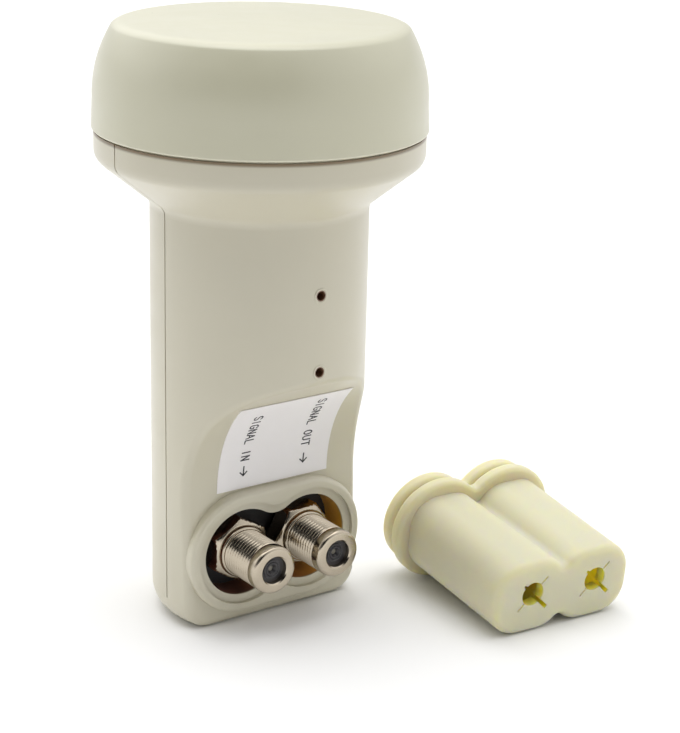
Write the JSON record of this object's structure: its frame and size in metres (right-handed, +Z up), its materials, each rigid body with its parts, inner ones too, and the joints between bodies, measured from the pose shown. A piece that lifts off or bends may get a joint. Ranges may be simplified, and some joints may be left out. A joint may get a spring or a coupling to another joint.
{
  "type": "satellite LNB",
  "caption": "Satellite dish low-noise block with a round feed cap, clamp neck, scooped front with twin coaxial ports, and its rubber twin boot lying beside it.",
  "frame": {"origin": "middle of the flat base, on the axis of the neck and cap", "axes": "+Z up along the axis of the neck toward the feed cap, -Y the way the ports face, +X right seen from the front; the boot lies on the base plane at +X"},
  "size_m": [0.0929, 0.0735, 0.1106],
  "materials": {
    "cap_plastic": "satin cream moulding with a faint green cast",
    "housing_plastic": "satin warm grey moulding",
    "label_film": "white printed film",
    "seal_rubber": "black",
    "cast_alloy": "as cast",
    "lid_alloy": "plain sheet",
    "screw_steel": "zinc",
    "board_laminate": "green resist",
    "chip_resin": "moulded black",
    "can_steel": "plain can",
    "contact_brass": "gold flash",
    "white_dielectric": "white",
    "port_nickel": "nickel plate",
    "black_dielectric": "black",
    "boot_rubber": "pale cream, slightly translucent"
  },
  "bodies": {
    "root": {"feed_cap": "cap_plastic", "front_shell": "housing_plastic", "rear_shell": "housing_plastic", "port_label": "label_film", "cap_seal_ring": "seal_rubber", "port_gasket": "seal_rubber", "horn_casting": "cast_alloy", "chassis_lid": "lid_alloy", "lid_screws": "screw_steel", "circuit_board": "board_laminate", "converter_chip": "chip_resin", "voltage_regulator": "chip_resin", "amplifier_transistors": "chip_resin", "crystal_can": "can_steel", "vertical_probe": "contact_brass", "horizontal_probe": "contact_brass", "probe_bushes": "white_dielectric", "isolation_rod": "screw_steel", "port_body_left": "port_nickel", "port_body_right": "port_nickel", "port_insulator_left": "black_dielectric", "port_insulator_right": "black_dielectric", "port_contact_left": "port_nickel", "port_contact_right": "port_nickel", "connector_boot": "boot_rubber"}
  },
  "joints": []
}
